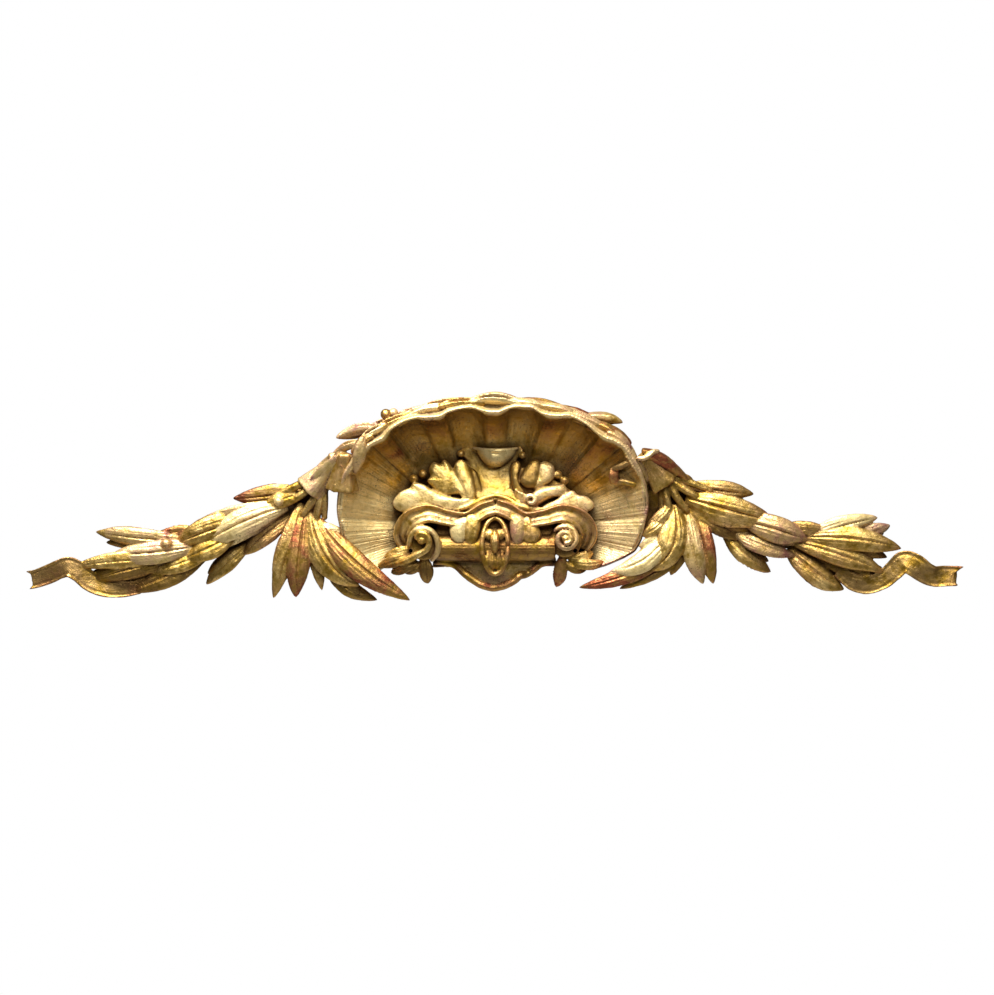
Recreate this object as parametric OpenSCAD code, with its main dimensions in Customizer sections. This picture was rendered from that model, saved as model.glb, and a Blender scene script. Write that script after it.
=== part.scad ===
// A carved giltwood cresting that is nailed up over a door or a looking-glass. A hollow scallop shell
// stands behind a scrolled cartouche, and laurel boughs leave the cuffs at the ends of its lip: one long
// bough each side that ends in a ribbon, and one that droops beside the shell.
// The carving is drawn lying on its back, with x across, y up and z towards the viewer, from the middle
// of the line between the two nail holes. stand_up() then turns it against the wall plane y = 0.

/* [Shell] */
// Width of the shell's mouth
shell_w = 360; // [300:5:420]
// Height of the widest line of the mouth above the nail holes
shell_mid = 55; // [45:1:65]
// Rise of the mouth above its widest line
shell_rise = 112; // [90:1:135]
// Drop of the mouth below its widest line
shell_drop = 114; // [95:1:135]
// How far the lip stands off the wall at its top
lip_depth = 94; // [70:1:120]
// How far the lip stands off the wall at its sides
side_depth = 60; // [45:1:75]
// How far the lower fans stand off the wall
foot_depth = 34; // [28:1:42]
// Wood left behind the bowl
bowl_wall = 14; // [10:1:20]
// Thickness of the lip
lip_t = 7; // [5:0.5:10]
// Number of lobes round the mouth, an even number
lobes = 12; // [8:2:16]
// Height of the ribs between the lobes
rib_h = 5; // [3:0.5:8]
// How far each rib draws the lip inwards
lip_wave = 5; // [2:0.5:8]

/* [Laurel] */
// Thickness of a leaf behind its edges
leaf_t = 6; // [5:0.5:9]
// Crown of a leaf, as a share of its width
leaf_crown = 0.17; // [0.1:0.01:0.25]
// How far the boughs stand off the wall at the cuffs
bough_z = 40; // [30:1:50]
// Reach of the left bough, from its cuff to the tip of its ribbon
reach_left = 348; // [300:2:420]
// Reach of the right bough, from its cuff to the tip of its ribbon
reach_right = 354; // [300:2:420]
// Width of the ribbons
ribbon_w = 23; // [16:1:28]
// Thickness of the ribbons
ribbon_t = 5; // [4:0.5:8]

/* [Cartouche] */
// Middle of the cartouche, to the right of the nail holes' middle
axis_x = 3; // [0:1:6]
// Radius of the roll between the two volutes
roll_r = 18; // [14:1:21]
// How far the roll's axis stands off the wall
roll_z = 42; // [36:1:48]
// Distance of each volute's eye from the middle
volute_x = 86; // [80:1:92]
// Radius of a volute's outer turn
volute_r = 20; // [16:1:23]
// Half the width of the band over the roll
band_r = 8.5; // [6:0.5:10]
// Width of the oval boss in the middle
boss_w = 36; // [28:1:42]
// Height of the oval boss
boss_h = 72; // [64:1:84]

/* [Nail holes] */
// Distance between the two nail holes
nail_gap = 195; // [185:1:200]
// Diameter of a nail hole
nail_d = 5; // [4:0.5:6]

/* [Hidden] */

gold = [0.78, 0.60, 0.24];
foot_angle = 46;               // the mouth starts and ends this far below its widest line
hub = [70, 14];                // half sizes of the oval that the lobes spring from, behind the cartouche
hub_y = 32;
rows = [0, 0.22, 0.46, 0.7, 0.88, 1];
steps_per_lobe = 4;
below_wall = 6;                // everything runs this far behind the wall plane and is cut off flat there
cuff_left = [shell_w / 2 + 30, shell_mid + 24];
cuff_right = [shell_w / 2 + 35, shell_mid + 31];
layer = 4;                      // how far each layer of leaves stands over the one under it
bough_fall = 0.085;             // how fast the boughs come back to the wall on their way out
drawn_reach_left = 348;        // the reach at which the left bough's leaves were laid out
drawn_reach_right = 354;       // the same on the right
top = 260;

// Laurel leaves: [x0, y0, x1, y1, width, bow, layer, roll], from base to tip, with x outwards and y up
// from the cuff. A bow is to the left of the way that the leaf points.
left_bough = [
    [22, -7, 103, -15, 24, 2, -3, 10],
    [7, -6, 72, -33, 12, 0, 1.6, 0],
    [28, -24, 146, -48, 19, 4, 0.6, 20],
    [36, -34, 133, -71, 30, 5, 1.6, -8],
    [28, -34, 85, -87, 22, -3, -0.6, -25],
    [78, -60, 133, -119, 17, -2, -2.2, -15],
    [110, -43, 167, -65, 18, 2, 1.8, 15],
    [98, -62, 155, -86, 21, -1, 1.4, -15],
    [158, -66, 265, -58, 23, 1, 0.6, 12],
    [146, -75, 244, -80, 27, -4, 1.2, -8],
    [134, -60, 200, -60, 13, 1, -0.6, 15],
    [134, -92, 222, -127, 28, -6, -1.8, -15],
    [156, -86, 265, -114, 22, 2, -0.8, 5],
];
right_bough = [
    [20, -6, 95, -18, 24, 4, -3, 8],
    [15, -22, 118, -52, 33, -2, 1.4, 5],
    [12, -26, 77, -71, 20, -2, 0, -20],
    [58, -52, 116, -112, 21, -4, -1.8, -15],
    [104, -54, 156, -72, 31, -1, 2.0, 0],
    [137, -58, 181, -55, 17, 1, 1.2, 20],
    [160, -65, 242, -44, 21, 2, 0.8, 15],
    [198, -78, 259, -55, 17, 1, -0.4, 10],
    [152, -68, 271, -84, 27, -3, 1.2, 0],
    [143, -82, 251, -112, 23, 4, 0.2, -12],
    [132, -76, 204, -134, 26, -5, -1.6, -18],
    [88, -54, 143, -90, 15, -2, 0.8, -15],
];
left_droop = [
    [16, -28, 52, -134, 25, 5, 0.4, 12],
    [12, -32, 24, -130, 20, 0, 0.8, 0],
    [4, -46, -6, -126, 15, 0, -0.4, -10],
    [6, -34, -53, -120, 32, 7, 1.6, 8],
    [-2, -42, -106, -136, 30, 14, 2.0, -15],
    [-10, -94, -70, -139, 22, 4, -0.8, 15],
    [0, -50, -34, -54, 15, 4, 1.8, 0],
    [-8, 2, 4, -36, 15, 0, 1.4, 0],
];
right_droop = [
    [22, -38, 49, -122, 19, 3, 0.2, 12],
    [12, -38, 35, -125, 19, 1, 0.8, 0],
    [7, -46, -7, -119, 25, 3, -0.8, -8],
    [-4, -28, -32, -110, 34, 10, 1.6, 8],
    [-14, -56, -77, -110, 24, 12, 2.2, -8],
    [0, -92, -112, -130, 22, 6, 0.6, -5],
    [20, -98, -62, -132, 22, 7, -1.0, 12],
    [-10, -42, -41, -70, 15, 4, 2.4, 0],
    [-12, -57, -42, -83, 13, 4, 1.8, 0],
    [-16, -74, -43, -95, 13, 3, 1.2, 0],
];
// Ribbons: [x, y, z, half width as a share of the ribbon's, lean of the band off upright]
left_ribbon = [
    [348, -104, 4, 0.85, -12], [334, -112, 7, 0.8, -14], [316, -106, 17, 0.85, -28],
    [300, -98, 22, 0.85, -30], [284, -108, 12, 0.8, 20], [268, -122, 7, 0.8, 22],
    [246, -128, 9, 0.75, 5], [222, -120, 14, 0.7, -10], [196, -104, 16, 0.6, -10],
];
right_ribbon = [
    [354, -110, 5, 0.75, 20], [336, -115, 8, 0.8, 8], [314, -120, 5, 0.85, -12],
    [298, -106, 14, 0.75, -40], [280, -92, 22, 0.8, -8], [264, -104, 13, 0.8, 35],
    [250, -122, 9, 0.85, 28], [230, -128, 12, 0.85, 0], [208, -118, 16, 0.7, -20], [186, -96, 18, 0.6, -30],
];

// ---- Numbers, vectors and curves ----
function mix(a, b, t) = a * (1 - t) + b * t;
function unit(v) = v / norm(v);
function at(list, t) =                                   // a smooth curve through the points of a list
    let (n = len(list) - 1, i = min(floor(t * n), n - 1), f = t * n - i,
         p0 = list[max(i - 1, 0)], p1 = list[i], p2 = list[i + 1], p3 = list[min(i + 2, n)])
    0.5 * (2 * p1 + (p2 - p0) * f + (2 * p0 - 5 * p1 + 4 * p2 - p3) * f * f
           + (3 * p1 - p0 - 3 * p2 + p3) * f * f * f);

// Six times the volume inside a closed skin, negative when its faces look outwards as polyhedron() wants
function volume(points, faces) =
    let (parts = [for (f = faces, i = [1:len(f) - 2]) cross(points[f[0]], points[f[i]]) * points[f[i + 1]]])
    parts * [for (p = parts) 1];

// A closed solid through a row of rings that all have the same number of points
module skin(rings) {
    n = len(rings[0]);
    m = len(rings);
    points = [for (r = rings) each r];
    sides = [for (i = [0:m - 2], j = [0:n - 1])
        let (k = (j + 1) % n)
        each [[i * n + j, (i + 1) * n + k, i * n + k], [i * n + j, (i + 1) * n + j, (i + 1) * n + k]]];
    ends = [[for (j = [0:n - 1]) j], [for (j = [n - 1:-1:0]) (m - 1) * n + j]];
    faces = concat(sides, ends);
    polyhedron(points, volume(points, faces) < 0 ? faces
        : [for (f = faces) [for (i = [len(f) - 1:-1:0]) f[i]]]);
}

// ---- Shell ----
function mouth_angle(u) = mix(-foot_angle, 180 + foot_angle, u);
function rib(u) = pow(abs(cos(180 * u * lobes)), 3);
function mouth_depth(a) = sin(a) > 0
    ? mix(side_depth, lip_depth, pow(sin(a), 0.7))
    : mix(side_depth, foot_depth, -sin(a) / sin(foot_angle));
function mouth(a, out = 0) =
    [(shell_w / 2 + out) * cos(a), shell_mid + ((sin(a) > 0 ? shell_rise : shell_drop) + out) * sin(a)];
function hub_at(a) = [hub.x * cos(a), hub_y + hub.y * sin(a)];

// A point of the bowl's inner face: u runs round the mouth and v from the hub to the lip
function bowl(u, v) =
    let (a = mouth_angle(u), dome = 0.35 + 0.65 * max(0, sin(a)), w = rib(u),
         out = mix(v, sin(90 * v), dome), up = mix(v * v, 1 - cos(90 * v), dome),
         p = mix(hub_at(a), mouth(a, -lip_wave * w), out))
    [p.x, p.y, mix(bowl_wall, mouth_depth(a), up) + rib_h * w * sin(180 * v)];

function shell_ring(u) =
    let (a = mouth_angle(u), d = mouth_depth(a), w = lip_wave * rib(u), s = max(0, sin(a)),
         back = mouth(a, mix(-10, 12, s)), h = hub_at(a))
    concat([for (v = rows) bowl(u, v)],
        [for (q = [[lip_t * 0.5 - w, d + 1.5], [lip_t - w * 0.6, d - 3], [mix(lip_t, 15, s), d * 0.62]])
            let (p = mouth(a, q[0])) [p.x, p.y, q[1]]],
        [[back.x, back.y, -below_wall], [h.x, h.y, -below_wall]]);

module shell() {
    n = lobes * steps_per_lobe;
    skin([for (i = [0:n]) shell_ring(i / n)]);
    translate([0, hub_y, -below_wall])
        scale([1, (hub.y + 1) / (hub.x + 1), 1])
        cylinder(r = hub.x + 1, h = below_wall + bowl_wall, $fn = 40);
}

// ---- Leaves ----
function leaf_spine(leaf, s) =
    let (b = leaf[0], t = leaf[1], c = (b + t) / 2 + 2 * leaf[2]) mix(mix(b, c, s), mix(c, t, s), s);
function leaf_way(leaf, s) = unit(leaf_spine(leaf, s + 0.01) - leaf_spine(leaf, s - 0.01));
function leaf_half(s, blunt) = pow(max(0.001, sin(180 * pow(mix(0.1, 0.995, s), mix(0.8, 1.5, blunt)))), 0.75);

// leaf = [base, tip, bulge of the spine at its middle, width, roll, blunt]
function leaf_ring(leaf, s) =
    let (p = leaf_spine(leaf, s), d = leaf_way(leaf, s),
         across = unit(cross([0, 0, 1], d)), up = cross(d, across),
         side = across * cos(leaf[4]) + up * sin(leaf[4]), face = cross(d, side),
         h = leaf[3] / 2 * leaf_half(s, leaf[5]), c = h * 2 * leaf_crown)
    [p - side * h, p - side * h * 0.3 + face * c, p + side * h * 0.3 + face * c, p + side * h,
     p - face * (leaf_t * (0.2 + 0.8 * h * 2 / leaf[3]))];

module leaf(leaf) {
    skin([for (s = leaf[3] < 17 ? [0, 0.3, 0.75, 1] : [0, 0.2, 0.5, 0.8, 1]) leaf_ring(leaf, s)]);
}

function bough_top(x) = bough_z - bough_fall * max(0, x);

module spray(leaves, stretch, arch) {
    for (q = leaves) {
        base = [q[0] * stretch, q[1], bough_top(q[0]) + q[6] * layer - 3];
        tip = [q[2] * stretch, q[3], bough_top(q[2]) + q[6] * layer - 3];
        flat = unit([tip.x - base.x, tip.y - base.y]);
        leaf([base, tip, [-flat.y * q[5], flat.x * q[5], arch * norm(tip - base)], q[4] * 1.12, q[7], 0.15]);
    }
}

// The wood behind the leaves: points are [x, y, half width], and its back runs into the wall
module bough(points, stretch) {
    skin([for (i = [0:len(points)])
        let (t = i / len(points), p = at(points, t), e = 0.01,
             q = at(points, min(1, t + e)) - at(points, max(0, t - e)),
             n = unit([-q.y, q.x * stretch]), z = bough_top(p.x))
        [for (c = [[-1, -below_wall], [-1, z * 0.5], [-0.45, z], [0.45, z], [1, z * 0.5], [1, -below_wall]])
            [p.x * stretch + n.x * p[2] * c[0], p.y + n.y * p[2] * c[0], c[1]]]]);
}

module ribbon(points, stretch) {
    skin([for (i = [0:12])
        let (t = i / 12, p = at(points, t), h = ribbon_w / 2 * p[3], k = ribbon_t / 2)
        [for (c = [[-h, -k], [h, -k], [h, k], [-h, k]])
            [p.x * stretch + c[0] * sin(-p[4]), p.y + c[0] * cos(p[4]), max(p.z, k) + c[1]]]]);
}

// A wrapped cuff, flared at the mouth that the bough leaves by: points are [x, y, z, radius]
module cuff(points) {
    skin([for (i = [0:3])
        let (t = i / 3, p = at(points, t), q = at(points, min(1, t + 0.02)) - at(points, max(0, t - 0.02)),
             d = unit([q.x, q.y, q.z]), a = unit(cross([0, 0, 1], d)), b = cross(d, a))
        [for (j = [0:7]) [p.x, p.y, p.z] + a * p[3] * cos(45 * j) + b * p[3] * sin(45 * j)]]);
}

module left_side() {
    stretch = reach_left / drawn_reach_left;
    mirror([1, 0, 0]) translate(cuff_left) {
        cuff([[-24, 36, side_depth - 2, 8], [-12, 17, side_depth - 9, 13], [3, 1, side_depth - 17, 18]]);
        cuff([[-40, 38, side_depth, 9], [-34, 18, side_depth - 4, 12], [-30, -5, side_depth - 10, 16]]);
        bough([[-20, 16, 14], [4, -8, 12], [50, -34, 12], [110, -60, 14], [170, -78, 14], [232, -94, 7]],
            stretch);
        bough([[-8, 8, 11], [8, -34, 12], [6, -70, 14], [-14, -96, 11], [-44, -114, 6]], 1);
        spray(left_bough, stretch, 0.05);
        spray(left_droop, 1, 0.06);
        ribbon(left_ribbon, stretch);
        translate([45 * stretch, -22, bough_z]) sphere(6, $fn = 6);
    }
}

module right_side() {
    stretch = reach_right / drawn_reach_right;
    translate(cuff_right) {
        cuff([[-36, 34, side_depth - 4, 8], [-18, 20, side_depth - 10, 14], [-2, 6, side_depth - 16, 17]]);
        cuff([[-62, 16, side_depth - 2, 6], [-48, 8, side_depth - 6, 13], [-28, 6, side_depth - 12, 16]]);
        bough([[-20, 18, 14], [0, -8, 12], [50, -38, 12], [110, -60, 12], [170, -78, 13], [236, -96, 7]],
            stretch);
        bough([[-8, 8, 11], [2, -34, 13], [-2, -70, 14], [-26, -102, 11], [-54, -118, 6]], 1);
        spray(right_bough, stretch, 0.05);
        spray(right_droop, 1, 0.06);
        ribbon(right_ribbon, stretch);
    }
}

// ---- Binding of leaves along the top of the lip ----
// Each leaf is [angle of its base, angle of its tip, how far its tip springs out, width, height off the wall]
binding = [
    [92, 113, 2, 15, 0.86], [86, 66, 2, 15, 0.86], [104, 131, 4, 17, 0.66], [76, 53, 3, 17, 0.66],
    [120, 146, 5, 16, 0.84], [62, 39, 6, 17, 0.8], [99, 79, 1, 13, 0.5], [81, 102, 0, 13, 0.46],
    [128, 150, 9, 17, 0.5], [56, 45, 10, 15, 0.52], [142, 158, 1, 15, 0.9], [44, 27, 1, 15, 0.9],
];

module lip_binding() {
    for (q = binding) {
        ends = [for (e = [[q[0], 10], [q[1], 12 + q[2]]])
            let (p = mouth(e[0], e[1])) [p.x, p.y, mouth_depth(e[0]) * q[4]]];
        middle = mouth((q[0] + q[1]) / 2, 13 + q[2] / 2);
        bulge = [middle.x, middle.y, mouth_depth((q[0] + q[1]) / 2) * q[4]] - (ends[0] + ends[1]) / 2;
        leaf([ends[0], ends[1], bulge, q[3], q[1] > q[0] ? -50 : 50, 0.4]);
    }
}

// ---- Cartouche ----
// Half of the band's line, from the middle over the roll and round to its turned end
band_line = [[0, 52, 56], [14, 48, 57], [34, 37, 58], [58, 39, 58], [82, 43, 56], [102, 32, 52],
             [109, 16, 46], [101, 2, 38]];

module swept(points, radius, sides, steps, taper = 0) {
    skin([for (i = [0:steps])
        let (t = i / steps, p = at(points, t), q = at(points, min(1, t + 0.01)) - at(points, max(0, t - 0.01)),
             n = unit([-q.y, q.x, 0]), r = radius * (1 - taper * t))
        [for (j = [0:sides - 1]) p + n * r * cos(360 / sides * j) + [0, 0, r * sin(360 / sides * j)]]]);
}

function spiral(turns, from, to) = [for (i = [0:10])
    let (t = i / 10, a = 60 - 360 * turns * t, r = mix(from, to, t)) [r * cos(a), r * sin(a), 10 * t]];

module volute() {
    translate([volute_x, 10, 46]) {
        swept(spiral(1.25, volute_r - 4, 6), 4, 4, 10, 0.3);
        translate([0, 0, -20]) cylinder(r1 = volute_r, r2 = volute_r - 5, h = 23, $fn = 12);
        translate([0, 0, -2]) cylinder(r1 = 11, r2 = 4, h = 14, $fn = 8);
    }
        leaf([[volute_x + 6, -8, 34], [140, -20, 22], [0, -6, 6], 22, 0, 0.6]);
    leaf([[volute_x + 12, 2, 36], [136, 2, 24], [0, -2, 4], 15, 0, 0.8]);
    leaf([[volute_x - 4, -4, 42], [75, -40, 24], [-2, 0, 6], 17, 0, 0.7]);
}

module cartouche_half() {
    swept(band_line, band_r, 6, 12);
    volute();
    leaf([[18, 42, 55], [50, 16, 58], [4, 2, 4], 30, 0, 0.9]);
    hull() {
        translate([0, 4, roll_z]) rotate([0, 90, 0]) cylinder(r = roll_r, h = volute_x - 8, $fn = 16);
        translate([0, 4 - roll_r, -below_wall]) cube([volute_x - 14, 2 * roll_r, 1]);
    }
}

module boss() {
    translate([0, 7, 46]) difference() {
        scale([boss_w / 2, boss_h / 2, 22]) sphere(1, $fn = 12);
        translate([0, 2, 20]) scale([boss_w / 2 - 5, boss_h / 2 - 6, 10]) sphere(1, $fn = 10);
    }
    for (s = [-1, 1]) translate([s * 5, 16, 60]) scale([1, 1.3, 0.8]) sphere(6, $fn = 6);
    translate([0, 2, 58]) scale([0.8, 2, 0.8]) sphere(8, $fn = 8);
}

// The ogee apron below the roll: its outline is half of the lower edge
apron_edge = [[0, -48], [15, -44], [30, -34], [46, -27], [60, -20], [70, -18]];

module apron() {
    outline = concat([for (p = apron_edge) p], [for (i = [len(apron_edge) - 1:-1:1])
        [-apron_edge[i].x, apron_edge[i].y]]);
    hull_depths = [[1, -below_wall], [1, 16], [0.93, 28], [0.8, 36]];
    skin([for (d = hull_depths)
        [for (p = concat([[-70, 8], [-40, 14], [40, 14], [70, 8]],
                         [for (i = [0:len(outline) - 1]) outline[(len(apron_edge) + len(outline) - 1 - i)
                             % len(outline)]]))
            [p.x * (0.5 + 0.5 * d[0]), p.y * d[0], d[1]]]]);
}

// ---- Foliage over the band ----
// Leaves and lobes: [x0, y0, x1, y1, width, bow, z0, z1, blunt], for the left and the right of the middle
left_foliage = [
    [-34, 57, -117, 53, 30, -6, 42, 52, 0.9], [-62, 66, -98, 76, 15, 0, 47, 49, 0.9],
    [-42, 60, -78, 82, 17, -3, 46, 52, 0.9], [-38, 60, -74, 102, 20, -3, 47, 54, 0.9],
    [-36, 60, -58, 108, 18, -2, 47, 54, 0.9], [-33, 56, -41, 108, 14, -2, 45, 50, 0.8],
];
right_foliage = [
    [30, 62, 26, 106, 14, 3, 46, 50, 0.9], [34, 66, 49, 110, 20, 2, 47, 54, 0.9],
    [38, 66, 72, 106, 22, 0, 46, 52, 0.9], [44, 58, 88, 76, 16, 0, 46, 52, 0.7],
    [52, 47, 120, 53, 19, 8, 42, 50, 0.7],
];
berries = [[-98, 84, 5.5], [-86, 90, 5.5], [-41, 114, 4.5], [33, 112, 4.5], [78, 90, 5.5], [86, 83, 5.5]];

module foliage() {
    for (q = concat(left_foliage, right_foliage)) {
        flat = unit([q[2] - q[0], q[3] - q[1]]);
        leaf([[q[0], q[1], q[6]], [q[2], q[3], q[7]], [-flat.y * q[5], flat.x * q[5], 6], q[4], 0, q[8]]);
    }
    for (b = berries) translate([b.x, b.y, 42]) {
        sphere(b.z, $fn = 6);
        translate([0, 0, -30]) cylinder(r = b.z * 0.7, h = 28, $fn = 4);
    }
    // The neck between the leaves, with the crescent that crowns it
    hull() {
        translate([axis_x, 54, 8]) scale([36, 10, 1]) cylinder(r = 1, h = 36, $fn = 12);
        translate([axis_x, 80, 8]) scale([23, 8, 1]) cylinder(r = 1, h = 33, $fn = 12);
    }
    hull() {
        translate([axis_x, 80, 8]) scale([23, 8, 1]) cylinder(r = 1, h = 33, $fn = 12);
        translate([axis_x, 110, 10]) scale([27, 8, 1]) cylinder(r = 1, h = 30, $fn = 12);
    }
    translate([axis_x, 112, 42]) intersection() {
        scale([24, 18, 14]) sphere(1, $fn = 12);
        translate([-30, -30, -20]) cube([60, 36, 40]);
    }
    // The wood that carries the leaf clusters off the bowl
    for (s = [-1, 1])
        hull() {
            translate([axis_x + s * 34, 60, 0]) cylinder(r1 = 26, r2 = 18, h = 46, $fn = 10);
            translate([axis_x + s * 92, 56, 0]) cylinder(r1 = 22, r2 = 10, h = 44, $fn = 10);
            translate([axis_x + s * 60, 84, 0]) cylinder(r1 = 20, r2 = 10, h = 46, $fn = 10);
        }
}

module cartouche() {
    translate([axis_x, 0, 0]) {
        for (s = [0, 1]) mirror([s, 0, 0]) cartouche_half();
        boss();
        apron();
    }
}

// Fuses the carving into one closed skin, at the size that it is drawn
module one_skin() {
    resize([0, 0, 0]) union() { children(); }
}

module stand_up() {
    rotate([90, 0, 0]) children();
}

module carving() {
    shell();
    lip_binding();
    left_side();
    right_side();
    foliage();
    cartouche();
}

module crest() {
    color(gold) stand_up() difference() {
        one_skin() difference() {
            carving();
            translate([-2 * top - shell_w, -2 * top, -top]) cube([2 * (2 * top + shell_w), 4 * top, top]);
        }
        for (s = [-1, 1])
            translate([s * nail_gap / 2, 0, -below_wall]) cylinder(d = nail_d, h = top, $fn = 48);
    }
}

crest();
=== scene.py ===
import math
import bpy
import numpy as np
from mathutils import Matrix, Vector


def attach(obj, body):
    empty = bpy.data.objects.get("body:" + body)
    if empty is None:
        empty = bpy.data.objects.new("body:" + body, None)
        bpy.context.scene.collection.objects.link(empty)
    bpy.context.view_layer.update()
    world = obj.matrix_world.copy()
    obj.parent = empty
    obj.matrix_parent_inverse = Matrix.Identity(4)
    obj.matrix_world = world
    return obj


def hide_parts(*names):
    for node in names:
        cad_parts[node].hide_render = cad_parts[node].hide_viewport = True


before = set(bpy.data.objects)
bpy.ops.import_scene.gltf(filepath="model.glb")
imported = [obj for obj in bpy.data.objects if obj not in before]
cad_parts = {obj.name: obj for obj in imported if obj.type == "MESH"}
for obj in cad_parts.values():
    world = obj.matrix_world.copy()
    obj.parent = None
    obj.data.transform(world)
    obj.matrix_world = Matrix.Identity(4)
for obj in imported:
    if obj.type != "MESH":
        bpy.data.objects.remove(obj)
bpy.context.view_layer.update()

# The carving is made lying on its back, in millimetres: x across, y up, z towards the viewer,
# from the middle of the line between the nail holes. Its last step stands it up in metres.
carving = []
middleX = 3          # the cartouche stands a little to the right of the nail holes' middle
# The dark tone is painted shade: it goes on leaves, pads and wood that lie under or behind others.
tones = {            # how much bole, dirt and painted shade, pale leaf and orange show on a leaf before wear is added
    "gold": (0.0, 0.0, 0.0), "pale": (0.0, 0.0, 0.6), "red": (0.75, 0.1, 0.0), "rose": (0.35, 0.0, 0.3),
    "dark": (0.15, 0.85, 0.0), "amber": (0.3, 0.25, 0.1), "mauve": (0.65, 0.15, 0.5), "tarnish": (0.3, 0.6, 0.1)}


def pickOnly(*pieces):
    bpy.ops.object.select_all(action="DESELECT")
    for piece in pieces:
        piece.select_set(True)
        bpy.context.view_layer.objects.active = piece


def useModifier(piece, kind, **settings):
    pickOnly(piece)
    modifier = piece.modifiers.new(kind.title(), kind)
    for key, value in settings.items():
        setattr(modifier, key, value)
    bpy.ops.object.modifier_apply(modifier=modifier.name)


def unit(v):
    return v / np.maximum(np.linalg.norm(v, axis=-1, keepdims=True), 1e-9)


def smooth(low, high, x):
    x = np.clip((x - low) / (high - low), 0, 1)
    return x * x * (3 - 2 * x)


def along(points, t):
    # a smooth line through the points, with t from 0 to 1
    p = np.array(points, float)
    last = len(p) - 1
    t = np.clip(np.asarray(t, float), 0, 1) * last
    i = np.minimum(t.astype(int), last - 1)
    f = (t - i)[..., None]
    a, b, c, d = p[np.maximum(i - 1, 0)], p[i], p[i + 1], p[np.minimum(i + 2, last)]
    return 0.5 * (2 * b + (c - a) * f + (2 * a - 5 * b + 4 * c - d) * f * f + (3 * b - a - 3 * c + d) * f ** 3)


def stops(v, *pairs):
    return np.interp(v, [pair[0] for pair in pairs], [pair[1] for pair in pairs])


def layGrid(name, cols, rows, place, tone="gold"):
    # a grid rolled into a skin: place(u, v) puts its points, and v goes once round the section
    bpy.ops.object.select_all(action="DESELECT")
    bpy.ops.mesh.primitive_grid_add(x_subdivisions=cols, y_subdivisions=rows, size=2)
    piece = bpy.context.object
    piece.name = name
    mesh = piece.data
    flat = np.empty(len(mesh.vertices) * 3)
    mesh.vertices.foreach_get("co", flat)
    uv = (flat.reshape(-1, 3)[:, :2] + 1) / 2
    points, across, *shades = place(uv[:, 0], uv[:, 1])
    mesh.vertices.foreach_set("co", np.ascontiguousarray(points).ravel())
    layer = mesh.color_attributes.new("tone", "FLOAT_COLOR", "POINT")
    shade = tones[tone] if isinstance(tone, str) else tone
    colour = np.empty((len(points), 4))
    colour[:, :3] = np.clip(np.array(shade) + (shades[0] if shades else 0), 0, 1)
    colour[:, 3] = across
    layer.data.foreach_set("color", colour.ravel())
    bpy.ops.object.mode_set(mode="EDIT")
    bpy.ops.mesh.select_all(action="SELECT")
    bpy.ops.mesh.remove_doubles(threshold=0.02)
    bpy.ops.mesh.fill_holes(sides=0)
    bpy.ops.mesh.normals_make_consistent(inside=False)
    bpy.ops.object.mode_set(mode="OBJECT")
    carving.append(piece)
    return piece


# Leaves
leafForm = {"crown": 0.2, "groove": 0.1, "thick": 7.0, "front": 0.72, "broader": 1.1}


def leaf(base, mid, tip, width, roll=0, tone="gold", blunt=0.15, thick=None, stalk=0.1, veins=1.0):
    base, mid, tip = (np.array(p, float) for p in (base, mid, tip))
    bend = 2 * mid - (base + tip) / 2
    turn = math.radians(roll)
    thick = leafForm["thick"] if thick is None else thick
    wobble = (base[0] * 0.37 + tip[1] * 0.23) % 6.28
    width = width * leafForm["broader"]

    def place(u, v):
        s = u[:, None]
        spine = (1 - s) ** 2 * base + 2 * s * (1 - s) * bend + s * s * tip
        way = unit(2 * (1 - s) * (bend - base) + 2 * s * (tip - bend))
        level = unit(np.cross([0, 0, 1], way))
        up = np.cross(way, level)
        side = level * math.cos(turn) + up * math.sin(turn)
        face = np.cross(way, side)
        fold = leafForm["front"]
        t = stops(v, (0, -1), (fold, 1), (1, -1))
        shape = np.maximum(np.sin(np.pi * (stalk + (1 - stalk) * u) ** 1.1), 0) ** (0.8 - 0.35 * blunt)
        half = width / 2 * shape * (1 + 0.05 * np.sin(9 * u + wobble) * (1 - u))
        crown = width * leafForm["crown"] * shape ** 0.7
        cut = 0.9 * np.exp(-((t + 0.08 * np.sin(wobble)) / 0.08) ** 2) * smooth(1, 0.7, u)
        cut += 0.24 * np.exp(-((np.abs(t - 0.05) - 0.4) / 0.07) ** 2) * smooth(0.75, 0.25, u)
        cut += 0.3 * np.exp(-((np.abs(t) - 0.7) / 0.06) ** 2) * smooth(0.45, 0.1, u)
        front = crown * (1 - t * t) ** 0.62 - veins * width * leafForm["groove"] * cut * smooth(0, 0.12, u)
        back = -thick * (0.35 + 0.65 * shape) * (1 - 0.35 * t * t)
        rise = np.where(v < fold, front, back)
        lean = 1 + 0.06 * np.sin(6 * u + 2 * wobble) * np.sign(t)
        worn = np.stack([0.5 * smooth(0.7, 1.0, u) + 0.25 * np.abs(t) ** 4, 0.55 * smooth(0.3, 0, u), 0 * u], 1)
        return spine + side * (t * half * lean)[:, None] + face * rise[:, None], t * half, worn
    length = np.linalg.norm(tip - base)
    return layGrid("leaf", max(14, int(length / 2.6)), 50, place, tone)


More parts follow.
